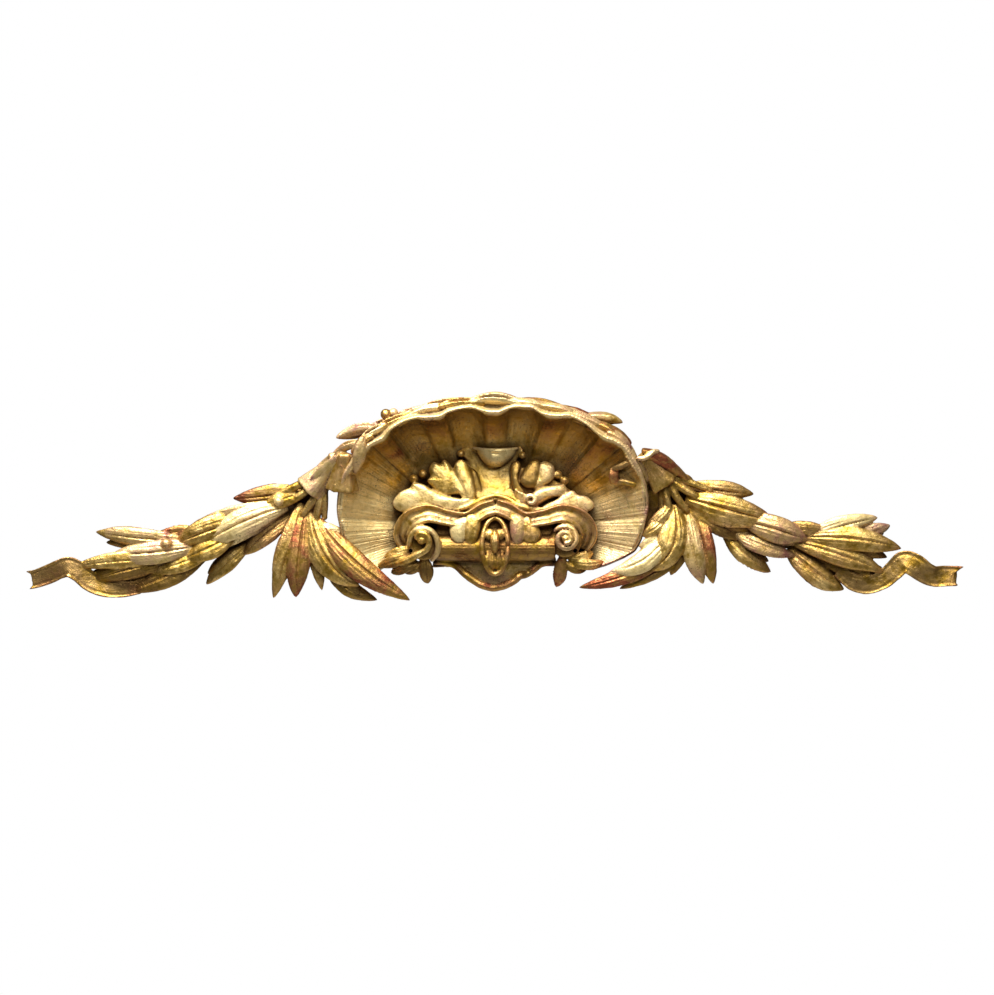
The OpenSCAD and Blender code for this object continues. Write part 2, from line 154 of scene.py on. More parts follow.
# Tubes, cords and berries
def rope(points, radius, tone="gold", steps=None):
    # radius is one number or one for each point
    sizes = np.array([[r] for r in (radius if isinstance(radius, (list, tuple)) else [radius] * len(points))])
    spread = sum(math.dist(a, b) for a, b in zip(points, points[1:]))

    def place(u, v):
        spine = along(points, u)
        way = unit(along(points, u + 0.004) - along(points, u - 0.004))
        level = unit(np.cross([0, 0, 1], way))
        up = np.cross(way, level)
        size = along(sizes, u)[:, 0] if len(sizes) > 1 else sizes[0, 0]
        size = size * np.sqrt(np.clip(np.minimum(u, 1 - u) * spread / (size + 1), 0.02, 1))
        turn = 2 * np.pi * v
        return (spine + level * (size * np.cos(turn))[:, None]
                + up * (size * np.sin(turn))[:, None]), size * np.cos(turn)
    return layGrid("rope", steps or max(10, int(spread / 2.5)), 16, place, tone)


def berry(x, y, z, size, tone="gold", tall=1.0):
    def place(u, v):
        a, b = math.pi * u, 2 * math.pi * v
        return np.stack([x + size * np.sin(a) * np.cos(b), y + size * tall * np.sin(a) * np.sin(b),
                         z - size * np.cos(a)], 1), 0 * u
    return layGrid("berry", 14, 20, place, tone)


# A pad is a raised form with an outline of its own, a crowned face, and sides that run back into the wood
def pad(outline, centre, height, crown, tone="gold", back=4.0, roundness=2.4):
    outline = np.array(outline, float)
    centre = np.array(centre, float)
    loop = np.vstack([outline, outline[:1]])
    spread = np.linalg.norm(np.diff(loop, axis=0), axis=1)
    gone = np.concatenate([[0], np.cumsum(spread)]) / spread.sum()
    count = len(outline)

    def edge(v):
        i = np.interp(v % 1.0, gone, np.arange(count + 1))
        k = np.minimum(i.astype(int), count - 1)
        f = (i - k)[:, None]
        a, b, c, d = (outline[(k + q) % count] for q in (-1, 0, 1, 2))
        return 0.5 * (2 * b + (c - a) * f + (2 * a - 5 * b + 4 * c - d) * f * f
                      + (3 * b - a - 3 * c + d) * f ** 3)

    def place(u, v):
        out = np.clip(u / 0.7, 0, 1)               # the face, then the sides, then the back
        side = np.clip((u - 0.7) / 0.2, 0, 1)
        inward = np.clip((u - 0.9) / 0.1, 0, 1)
        p = centre + (edge(v) - centre) * (out * (1 - inward))[:, None]
        z = height(p[:, 0], p[:, 1]) if callable(height) else height + 0 * u
        face = z + crown * (1 - out ** roundness) ** 0.6
        z = face * (1 - side) + back * side
        return np.column_stack([p, z]), 0 * u
    return layGrid("pad", 30, max(40, int(spread.sum() / 1.6)), place, tone)


# Shell
shell = {
    "halfWidth": 180, "midY": 55, "rise": 112, "hub": (70, 14), "hubY": 32,
    "wood": 14, "lipDepth": 94, "sideDepth": 60, "footDepth": 33,
    "ribs": [41, 65.5, 89, 113, 137],                  # degrees round the mouth, from the right
    "fans": [(37, 16), (16, -8), (-8, -30), (141, 164), (164, 188), (188, 211)],
    "lip": [(116, -20), (140, -12), (166, 1), (172, 12), (178, 36), (180, 66), (174, 86), (163, 107),
            (154, 120), (142, 128), (131, 131), (120, 138), (109, 148), (98, 154), (88, 158), (79, 157),
            (68, 157), (56, 160), (46, 167), (29, 168), (17, 166), (7, 161), (-4, 161), (-13, 163),
            (-24, 167), (-37, 166), (-52, 162), (-62, 156), (-76, 155), (-90, 155), (-104, 151),
            (-119, 142), (-128, 131), (-143, 124), (-155, 113), (-172, 91), (-180, 64), (-178, 30),
            (-172, 1), (-157, -12), (-138, -24)]}


def mouthDepth(a):
    high = shell["sideDepth"] + (shell["lipDepth"] - shell["sideDepth"]) * np.maximum(np.sin(a), 0) ** 0.7
    low = shell["sideDepth"] + (shell["footDepth"] - shell["sideDepth"]) * smooth(0, 0.75, -np.sin(a))
    return np.where(np.sin(a) > 0, high, low)


def bowlRelief(a, v):
    # ribs stand out of hollow lobes at the top, and the side lobes are fans cut with fine grooves
    deg = np.degrees(a)
    away = np.min([np.abs(deg - r) for r in shell["ribs"]], axis=0)
    rise = 4.5 * smooth(6.0, 3.6, away) - 3.0 * smooth(4, 12, away)
    top = smooth(33, 39, deg) * smooth(145, 139, deg)
    relief = rise * top * smooth(0.12, 0.4, v) * (0.55 + 0.45 * smooth(1.0, 0.9, v))
    for start, end in shell["fans"]:
        low, high = min(start, end), max(start, end)
        f = np.clip((deg - low) / (high - low), 0, 1)
        inside = (deg >= low) & (deg <= high)
        relief += np.where(inside, 5.5 * np.sin(np.pi * f) ** 0.8 * smooth(0.1, 0.6, v)
                           + (0.4 + 0.35 * np.sin(deg * 0.9)) * np.cos(2 * np.pi * (f * 8 + 0.3 * np.sin(7 * f)))
                           * smooth(0.15, 0.45, v), 0)
    return relief


def shellPlace(u, v):
    a = np.radians(-46 + 268.6 * u)
    lipAngle = np.array([math.atan2((y - shell["midY"]) / shell["rise"], x / shell["halfWidth"])
                         for x, y in shell["lip"]])
    lipAngle = np.where(lipAngle < -1.6, lipAngle + 2 * np.pi, lipAngle)
    lipOut = np.array([math.hypot((y - shell["midY"]) / shell["rise"], x / shell["halfWidth"])
                       for x, y in shell["lip"]])
    reach = np.interp(a, lipAngle, lipOut)
    for nudge in (-0.014, 0.014):
        reach = reach + np.interp(a + nudge, lipAngle, lipOut)
    reach = reach / 3
    mouth = np.stack([shell["halfWidth"] * reach * np.cos(a), shell["midY"] + shell["rise"] * reach * np.sin(a)], 1)
    normal = unit(np.stack([np.cos(a) / shell["halfWidth"], np.sin(a) / shell["rise"]], 1))
    depth = mouthDepth(a)
    hub = np.stack([shell["hub"][0] * np.cos(a), shell["hubY"] + shell["hub"][1] * np.sin(a)], 1)
    dome = 0.35 + 0.65 * np.maximum(0, np.sin(a))
    band = 4.5 + 9.0 * smooth(0.1, 0.75, np.sin(a))          # how far the rim stands out of the mouth

    bowl = np.clip(v / 0.62, 0, 1)
    out = bowl * (1 - dome) + np.sin(np.pi / 2 * bowl) * dome
    up = bowl ** 2 * (1 - dome) + (1 - np.cos(np.pi / 2 * bowl)) * dome
    flat = hub + (mouth - hub) * out[:, None]
    z = shell["wood"] + (depth - shell["wood"]) * up
    relief = bowlRelief(a, bowl)
    # relief pushes straight out of the face: forwards near the hub, and towards the hub at the top of the bowl
    lean = dome * bowl ** 1.5
    flat = flat - normal * (relief * lean)[:, None]
    z = z + relief * (1 - lean)
    # the rim beyond the mouth: out along the normal, then depth as a share of the lip's
    rimV = [0.62, 0.645, 0.67, 0.70, 0.74, 0.79, 0.84, 0.9, 0.94, 1.0]
    rimOut = [0.0, 1.2, 3.4, 4.6, 6.5, None, None, None, None, None]
    shares = [0, 0, 0, 0, 0, 0.85, 1.0, 0.8, 0.55, 0.5]
    rimZ = [0.0, 1.6, 1.4, -1.0, -5.5]
    zShare = [1, 1, 1, 1, 1, 0.86, 0.62, 0.25, 0, 0]
    outs = np.zeros_like(a)
    zs = np.zeros_like(a)
    for k in range(len(rimV) - 1):
        here = (v >= rimV[k]) & (v <= rimV[k + 1])
        f = (v - rimV[k]) / (rimV[k + 1] - rimV[k])
        o0 = np.minimum(rimOut[k], band * (0.25 + 0.12 * k)) if rimOut[k] is not None else band * shares[k]
        o1 = (np.minimum(rimOut[k + 1], band * (0.25 + 0.12 * (k + 1))) if rimOut[k + 1] is not None
              else band * shares[k + 1])
        z0 = depth + rimZ[k] if k < 5 else depth * zShare[k] - (6 if zShare[k] == 0 else 0)
        z1 = depth + rimZ[k + 1] if k + 1 < 5 else depth * zShare[k + 1] - (6 if zShare[k + 1] == 0 else 0)
        outs = np.where(here, o0 + (o1 - o0) * f, outs)
        zs = np.where(here, z0 + (z1 - z0) * f, zs)
    rim = mouth + normal * outs[:, None]
    home = np.clip((v - 0.94) / 0.04, 0, 1)                    # the back runs in to the hub, then closes on it
    rim = rim + (hub - rim) * home[:, None]
    zs = np.where(v > 0.98, -6 + (shell["wood"] + 6) * (v - 0.98) / 0.02, zs)
    wood = v > 0.62
    points = np.column_stack([np.where(wood[:, None], rim, flat), np.where(wood, zs, z)])
    deg = np.degrees(a)
    onRib = np.any([np.abs(deg - r) < 4 for r in shell["ribs"]], axis=0)
    # painted light and shade in the bowl: a painted shadow (the middle value) on the upper bowl under the lip, and
    # painted light (the pale value) on the lower bowl that faces up; the ribs take bole
    shades = np.stack([np.where(wood, 0.35, 0.7 * onRib * smooth(0.45, 0.7, bowl)),
                       np.where(wood, 0, 0.9 * smooth(0.35, 0.85, bowl) * smooth(0.2, 0.7, np.sin(a))),
                       np.where(wood, 0.45, 0.65 * smooth(0.6, 0.0, np.sin(a)))], 1)
    return points, a * 140, shades


def makeShell():
    layGrid("shell", 900, 150, shellPlace)
    pad([(70 * math.cos(a), 32 + 16 * math.sin(a)) for a in np.arange(0, 6.28, 0.3)], (0, 32), 14, 3, back=-6)
    print("shell laid")


# Binding of leaves round the rim, each from one angle to another, with its step out of the mouth and its depth
binding = [
    (93, 112, 11, 14, 0.93, "gold"), (87, 67, 11, 14, 0.93, "rose"), (106, 128, 12, 14, 0.9, "pale"),
    (76, 56, 12, 14, 0.92, "rose"), (121, 141, 13, 15, 0.9, "gold"), (63, 44, 13, 14, 0.9, "rose"),
    (98, 121, 16, 13, 0.72, "rose"), (82, 60, 16, 13, 0.72, "red"), (113, 137, 17, 13, 0.72, "mauve"),
    (68, 46, 17, 13, 0.74, "red"), (132, 147, 15, 16, 0.9, "pale"), (52, 36, 14, 15, 0.88, "red"),
    (129, 144, 21, 14, 0.7, "mauve"), (55, 42, 21, 13, 0.7, "red"), (139, 152, 14, 13, 0.95, "gold"),
    (44, 30, 13, 13, 0.92, "rose"), (95, 85, 15, 13, 0.86, "rose")]


def rimPoint(angle, out, share):
    a = math.radians(angle)
    normal = unit(np.array([math.cos(a) / shell["halfWidth"], math.sin(a) / shell["rise"]]))
    return [shell["halfWidth"] * math.cos(a) + normal[0] * out,
            shell["midY"] + shell["rise"] * math.sin(a) + normal[1] * out,
            float(mouthDepth(np.array(a))) * share]


def makeBinding():
    for start, end, out, width, share, tone in binding:
        base = rimPoint(start, out * 0.62 - 2, share)
        mid = rimPoint((start + end) / 2, out * 0.62, share)
        tip = rimPoint(end, out * 0.62 + 1, share)
        leaf(base, mid, tip, width, -52 if end > start else 52, tone, blunt=0.2, thick=9, stalk=0.2, veins=1.8)
    leaf(rimPoint(78, 5, 0.95), rimPoint(89, 9, 0.95), rimPoint(101, 8, 0.92), 14, -50, "pale", thick=9)
    leaf(rimPoint(101, 6, 0.8), rimPoint(90, 11, 0.78), rimPoint(79, 10, 0.76), 14, 50, "rose", thick=9)
    # the tie on the left of the top, and leaf tips that stand clear of the rim
    berry(-126, 161, 74, 6.5, "red")
    berry(-117, 163, 72, 5.5, "mauve")
    leaf([-130, 143, 68], [-158, 140, 64], [-186, 133, 58], 15, -30, "mauve", thick=13)
    leaf([96, 153, 68], [126, 155, 68], [154, 151, 64], 14, 30, "rose", thick=12)
    leaf([110, 146, 80], [136, 140, 76], [164, 126, 70], 16, 25, "red", thick=12)
    print("rim bound")


# Cuffs that the boughs come out of
def cuff(start, end, profile, tone="gold", flutes=5, twist=0.0, squash=1.0):
    # profile is a row of (share of the way, radius)
    start, end = np.array(start, float), np.array(end, float)
    way = unit(end - start)
    level = unit(np.cross([0, 0, 1], way))
    up = np.cross(way, level)

    def place(u, v):
        p = along(profile, u)
        turn = 2 * np.pi * v
        pleat = 1 + 0.09 * np.cos(flutes * turn + twist) * smooth(2, 10, p[:, 1])
        size = np.maximum(p[:, 1], 0) * pleat
        return (start + (end - start) * p[:, :1] + level * (size * np.cos(turn))[:, None]
                + up * (size * squash * np.sin(turn))[:, None]), turn * 14
    return layGrid("cuff", 40, 48, place, tone)


bell = [(-0.05, 0.0), (0.0, 0.5), (0.25, 0.56), (0.6, 0.74), (0.9, 0.94), (1.0, 1.0), (1.03, 0.96), (0.98, 0.84),
        (0.85, 0.7), (0.74, 0.35), (0.7, 0.0)]


def makeLeftCuffs():
    cuff([-185, 107, 60], [-216, 73, 47], [(p, r * 18.5) for p, r in bell], "mauve", 4, 0.6, 0.85)
    cuff([-175, 114, 72], [-178, 73, 60], [(p, r * 18.5) for p, r in bell], "amber", 6, 0.4, 0.7)
    # the flap of the lip that hangs over the inner cuff, and the tie above the outer one
    leaf([-152, 134, 84], [-157, 114, 83], [-162, 90, 72], 15, -14, "rose", blunt=0.5, thick=12)
    leaf([-150, 126, 80], [-172, 122, 74], [-193, 108, 62], 9, -20, "rose", thick=12)
    berry(-190, 111, 66, 5, "rose")
    leaf([-177, 114, 72], [-196, 98, 66], [-219, 77, 56], 15, -24, "mauve", blunt=0.5, thick=14)
    print("left cuffs rolled")


def makeRightCuffs():
    cuff([178, 114, 66], [202, 81, 50], [(p, r * 19.5) for p, r in bell], "gold", 5, 0.2, 0.8)
    rope([(176, 112, 56), (183, 94, 52), (189, 76, 46)], [10, 11, 8], tone="gold")
    leaf([176, 117, 78], [200, 105, 68], [234, 82, 48], 12, 24, "red", thick=14)
    leaf([222, 88, 50], [230, 83, 48], [240, 76, 40], 12, 0, "red", thick=12)
    # the wavy edge where the rim leaf ends over the cuff
    rope([(168, 110, 80), (176, 109, 80), (183, 112, 79), (189, 117, 76), (197, 118, 70)],
         [2, 3.2, 3.2, 3.2, 2], tone="pale")
    rope([(171, 107, 76), (176, 96, 70), (182, 82, 60)], [2.4, 3.4, 2.8], tone="rose")
    # the folded end of the lip beside the cuff, with its pleated end in the bowl
    rope([(170, 109, 76), (159, 104, 74), (149, 99, 69), (141, 97, 63)], [2.8, 3.8, 3.8, 3.0], tone="tarnish")
    rope([(183, 79, 58), (167, 79, 60), (152, 82, 60), (143, 82, 58)], [2.8, 4, 4, 2.8], tone="tarnish")
    # this pad's dark tone is painted shade behind the lip end
    pad([(185, 82), (174, 106), (158, 102), (146, 98), (144, 84), (160, 81)], (162, 91), 60, 2, "dark", back=14)
    for shift in (-3.6, -1.2, 1.2, 3.6):
        rope([(144 + shift, 99, 64), (142.5 + shift, 89, 65), (144 + shift, 78, 59)], [1.6, 2.1, 1.6], tone="red")
    print("right cuffs rolled")


# Boughs: leaves are (base x, base y, middle x, middle y, tip x, tip y, width, layer, roll, tone); the dark tone on the
# lower leaves is painted shade
boughs = {"height": 42, "fall": 0.085, "layer": 4.2, "arch": 0.05}
leftBough = [
    (-229, 72, -270, 66, -311, 62, 22, -3.0, 8, "amber"),
    (-227, 67, -251, 60, -279, 49, 17, 1.8, 0, "gold"),
    (-236, 56, -300, 45, -359, 31, 20, 0.4, 18, "rose"),
    (-244, 52, -298, 34, -346, 6, 31, 1.7, -6, "pale"),
    (-241, 41, -270, 19, -297, -5, 24, -0.6, -22, "gold"),
    (-289, 10, -318, -16, -343, -41, 19, -2.4, -12, "gold"),
    (-296, 36, -338, 25, -378, 8, 30, 1.3, 6, "gold"),
    (-308, 17, -337, 2, -368, -11, 24, 1.6, -12, "gold"),
    (-371, 12, -424, 16, -475, 22, 22, 0.8, 12, "rose"),
    (-356, 4, -406, -2, -455, -5, 27, 1.3, -6, "mauve"),
    (-347, 24, -376, 22, -407, 18, 14, -0.4, 14, "red"),
    (-344, -8, -390, -31, -434, -49, 26, -1.4, -12, "dark"),
    (-371, -10, -430, -20, -480, -36, 25, -0.4, 4, "dark"),
    (-332, 1, -371, -16, -412, -27, 18, 0.4, -10, "gold"),
    (-385, -10, -445, -12, -502, -19, 19, 0.9, 6, "gold"),
    (-388, -26, -424, -34, -462, -44, 16, -2.0, -4, "dark"),
]
rightBough = [
    (234, 77, 272, 72, 312, 67, 22, -3.0, 8, "amber"),
    (229, 62, 281, 47, 336, 33, 35, 1.4, 5, "gold"),
    (241, 58, 284, 54, 328, 43, 16, 0.8, 16, "rose"),
    (229, 58, 260, 36, 296, 12, 24, 0, -18, "dark"),
    (275, 24, 302, -5, 332, -26, 22, -1.8, -14, "gold"),
    (300, 34, 336, 26, 374, 12, 31, 1.8, 0, "rose"),
    (346, 26, 374, 26, 402, 20, 18, 1.0, 18, "gold"),
    (376, 16, 417, 30, 460, 39, 23, 0.8, 14, "pale"),
    (410, 16, 448, 22, 475, 30, 17, -0.4, 10, "mauve"),
    (371, 15, 431, 13, 488, 2, 27, 1.2, 0, "gold"),
    (359, 10, 414, -5, 467, -26, 25, 0.3, -10, "gold"),
    (352, 2, 383, -26, 420, -47, 27, -1.6, -16, "gold"),
    (290, 20, 322, 4, 360, -6, 20, 0.6, -12, "rose"),
    (368, 6, 428, -24, 476, -38, 20, -2.2, -6, "dark"),
]
leftSpray = [
    (-227, 56, -243, 2, -261, -57, 25, 0.4, 10, "gold"),
    (-223, 50, -231, -8, -234, -56, 28, 0.8, 0, "red"),
    (-217, 36, -210, -6, -203, -48, 18, -0.4, -8, "gold"),
    (-217, 44, -196, -12, -158, -41, 30, 1.6, 6, "gold"),
    (-208, 36, -162, -16, -98, -59, 29, 2.0, -12, "red"),
    (-198, -12, -174, -42, -137, -59, 20, -0.8, 12, "dark"),
    (-210, 31, -193, 24, -174, 24, 15, 1.8, 0, "pale"),
    (-205, 79, -209, 62, -214, 43, 14, 1.4, 0, "red"),
    (-200, 12, -169, -20, -145, -40, 15, 2.6, -6, "mauve"),
]
rightSpray = [
    (238, 50, 251, 4, 262, -40, 24, 0.2, 10, "red"),
    (229, 48, 237, 0, 250, -40, 24, 0.8, 0, "rose"),
    (221, 44, 221, 4, 211, -30, 22, -0.8, -6, "dark"),
    (214, 54, 212, 8, 184, -24, 32, 1.6, 6, "gold"),
    (207, 24, 182, -10, 138, -25, 23, 2.2, -6, "pale"),
    (210, -7, 160, -28, 102, -44, 20, 0.4, -4, "red"),
    (229, -6, 190, -26, 150, -46, 17, -1.2, 8, "dark"),
    (206, 40, 190, 26, 174, 18, 15, 2.4, 0, "gold"),
    (203, 26, 190, 12, 172, 5, 15, 1.9, 0, "pale"),
    (199, 12, 186, 0, 168, -6, 14, 1.4, 0, "gold"),
    (210, 58, 198, 40, 178, 28, 14, 2.2, 0, "gold"),
]


stemLine = [(190, 100), (260, 44), (320, 14), (380, -6), (440, -18), (500, -30)]


def boughTop(x, cuffX):
    return boughs["height"] - boughs["fall"] * max(0.0, abs(x) - abs(cuffX))


def growLeaves(rows, cuffX, under=True):
    for bx, by, mx, my, tx, ty, width, layer, roll, tone in rows:
        lift = layer * boughs["layer"]
        length = math.dist((bx, by), (tx, ty))
        base = [bx, by, boughTop(bx, cuffX) + lift * 0.8 - 4]
        mid = [mx, my, boughTop(mx, cuffX) + lift + boughs["arch"] * length - 2]
        tip = [tx, ty, boughTop(tx, cuffX) + lift - 5]
        leaf(base, mid, tip, width, roll if tx > bx else -roll, tone)
        if under and length > 45:      # and a shorter one under it, turned a little aside; a gold one takes the dark tone there, painted shade
            stem = np.interp(abs(tx), [p[0] for p in stemLine], [p[1] for p in stemLine])
            turn = math.radians(7 if (ty > stem) == (tx < bx) else -7)
            spots = []
            for p, share, drop in ((base, 1, 4), (mid, 0.9, 6), (tip, 0.88, 5)):
                dx, dy = (p[0] - bx) * share, (p[1] - by) * share
                spots.append([bx + dx * math.cos(turn) - dy * math.sin(turn),
                              by + dx * math.sin(turn) + dy * math.cos(turn), p[2] - drop])
            leaf(*spots, width * 0.85, -roll if tx > bx else roll, "dark" if tone == "gold" else tone)


# The wood behind the leaves, in the dark tone as painted shade: points are (x, y, half width, height)
def bough(points):
    def place(u, v):
        p = along(points, u)
        way = along(points, u + 0.01)[:, :2] - along(points, u - 0.01)[:, :2]
        side = unit(np.stack([-way[:, 1], way[:, 0]], 1))
        turn = np.pi * np.clip(v / 0.8, 0, 1)
        out = np.where(v < 0.8, np.cos(turn), -1 + (v - 0.8) / 0.2 * 2)
        z = np.where(v < 0.8, -4 + (p[:, 3] + 4) * np.sin(turn) ** 0.6, -4)
        return np.column_stack([p[:, :2] + side * (out * p[:, 2])[:, None], z]), out * p[:, 2]
    layGrid("bough", 60, 24, place, "dark")


def makeLeftBough():
    growLeaves(leftBough, -210)
    growLeaves(leftSpray, -230, under=False)
    bough([(-190, 100, 14, 46), (-212, 74, 12, 40), (-260, 44, 12, 36), (-320, 14, 14, 31),
           (-380, -6, 15, 26), (-440, -18, 9, 18)])
    bough([(-202, 90, 11, 42), (-218, 44, 12, 40), (-216, 8, 13, 38), (-196, -18, 11, 34), (-162, -38, 6, 28)])
    berry(-254, 58, 50, 5.5, "pale")
    berry(-388, 8, 38, 6.5, "rose")
    for mid, end in [((-222, 70, 49), (-246, 54, 44)), ((-230, 78, 48), (-264, 62, 42)),
                     ((-212, 62, 49), (-228, 40, 44)), ((-206, 56, 48), (-212, 30, 44)),
                     ((-200, 60, 46), (-200, 36, 40))]:
        rope([(-200, 92, 47), mid, end], [4, 5, 3.2])        # stalks run out of the cuffs
    print("left bough grown")


def makeRightBough():
    growLeaves(rightBough, 215)
    growLeaves(rightSpray, 235, under=False)
    bough([(195, 108, 13, 46), (215, 78, 12, 40), (262, 46, 12, 37), (322, 24, 12, 33),
           (384, 6, 13, 28), (450, -12, 7, 18)])
    bough([(207, 96, 11, 42), (217, 52, 13, 40), (213, 14, 14, 38), (190, -16, 11, 34), (160, -33, 6, 28)])
    # this pad's dark tone is painted shade behind the cuff
    pad([(176, 22), (204, 24), (208, 50), (204, 80), (184, 84), (176, 50)], (191, 52), 8, 2, "dark", back=-6)
    for mid, end in [((224, 74, 49), (254, 58, 44)), ((216, 66, 49), (232, 44, 44)), ((206, 60, 48), (214, 34, 44)),
                     ((230, 82, 46), (262, 70, 40)), ((200, 62, 45), (202, 38, 40))]:
        rope([(200, 92, 48), mid, end], [4, 4.8, 3.2])
    print("right bough grown")


# Ribbons: (x, y, z, half width, twist in degrees)
ribbons = {"thick": 5.0, "fork": 13, "rightSlant": 7}
leftRibbon = [
    (-556, -36, 10, 11, 0), (-546, -34, 12, 11, 4), (-532, -29, 15, 11.5, 8), (-518, -23, 20, 11.5, 6),
    (-506, -20, 23, 12, -6), (-494, -26, 21, 12, -12), (-480, -38, 17, 12, -12), (-462, -44, 15, 12, -4),
    (-442, -46, 15, 10, 6), (-422, -44, 16, 8, 6)]
rightRibbon = [
    (563, -31, 10, 11.5, 0), (552, -31, 11, 12, 4), (540, -31, 12, 12.5, 6), (527, -31, 15, 12.5, -6),
    (515, -26, 20, 13, -12), (503, -18, 23, 14, 0), (490, -14, 22, 13, 12), (479, -24, 18, 12, 12),
    (466, -35, 15, 11, 0), (448, -41, 15, 11, -8), (430, -38, 18, 10, -6), (412, -24, 20, 8, 0)]


def ribbon(points, slant=0):
    def place(u, v):
        p = along(points, u)
        way = unit(along(points, u + 0.01)[:, :3] - along(points, u - 0.01)[:, :3])
        level = unit(np.cross([0, 0, 1], way))
        up = np.cross(way, level)
        twist = np.radians(p[:, 4:5])
        side = level * np.cos(twist) + up * np.sin(twist)
        face = np.cross(way, side)
        t = stops(v, (0, -1), (0.46, 1), (0.5, 1), (0.96, -1), (1, -1))
        k = stops(v, (0, 0.5), (0.46, 0.5), (0.5, -0.5), (0.96, -0.5), (1, 0.5)) * ribbons["thick"]
        curl = 1.6 * t * t - 0.9 * np.exp(-((np.abs(t) - 0.68) / 0.12) ** 2) * (k > 0)   # a line along each edge
        # the forked end
        notch = (ribbons["fork"] * (1 - np.abs(t)) + slant * (1 + t) / 2) * smooth(0.1, 0, u)
        return (p[:, :3] + way * notch[:, None] + side * (t * p[:, 3])[:, None]
                + face * (k + curl)[:, None]), 0 * u
    layGrid("ribbon", 140, 50, place, "tarnish")


# Cartouche
cartouche = {
    "rollY": 4, "rollZ": 42, "rollRadius": 17, "bandZ": (60, 60, 59, 60, 60, 55, 48, 40),
    "band": [(3, 52), (17, 48), (37, 37), (60, 39), (84, 44), (105, 35), (113, 18), (106, 2)],
    "bandHalf": [(9,), (9,), (9,), (9.5,), (11,), (12,), (11,), (8,)]}


def bandHalf(side):
    line = [((x - middleX) * side + middleX, y, z) for (x, y), z in
            zip(cartouche["band"], cartouche["bandZ"])]

    def place(u, v):
        p = along(line, u)
        way = unit(along(line, u + 0.004) - along(line, u - 0.004))
        level = unit(np.cross([0, 0, 1], way)) * side
        half = along(cartouche["bandHalf"], u)[:, 0]
        t = stops(v, (0, -1), (0.6, 1), (0.66, 1), (0.94, -1), (1, -1))
        front = 2.2 * np.exp(-((t - 0.86) / 0.15) ** 2) + 2.4 * np.exp(-((t + 0.72) / 0.22) ** 2)
        front += -2.6 * np.exp(-((t - 0.3) / 0.4) ** 2) - 1.2 * np.exp(-((t + 0.35) / 0.08) ** 2)
        front += 1.3 * np.cos(t * 9.4) * smooth(0.7, 0.88, u)      # the turned ends are fluted
        z = np.where(v <= 0.6, front, stops(v, (0.6, 0), (0.66, -30), (0.94, -30), (1, 0)))
        return p + level * (t * half)[:, None] + np.stack([0 * z, 0 * z, z], 1), t * half
    layGrid("band", 130, 64, place, (0.2, 0.15, 0.15))


def spiral(cx, cy, cz, start, turns, big, small, rise, side):
    pts = []
    for i in range(25):
        f = i / 24
        a = math.radians(start) + side * 2 * math.pi * turns * f
        r = big + (small - big) * f ** 0.8
        pts.append((cx + r * math.cos(a), cy + r * math.sin(a), cz + rise * f))
    return pts


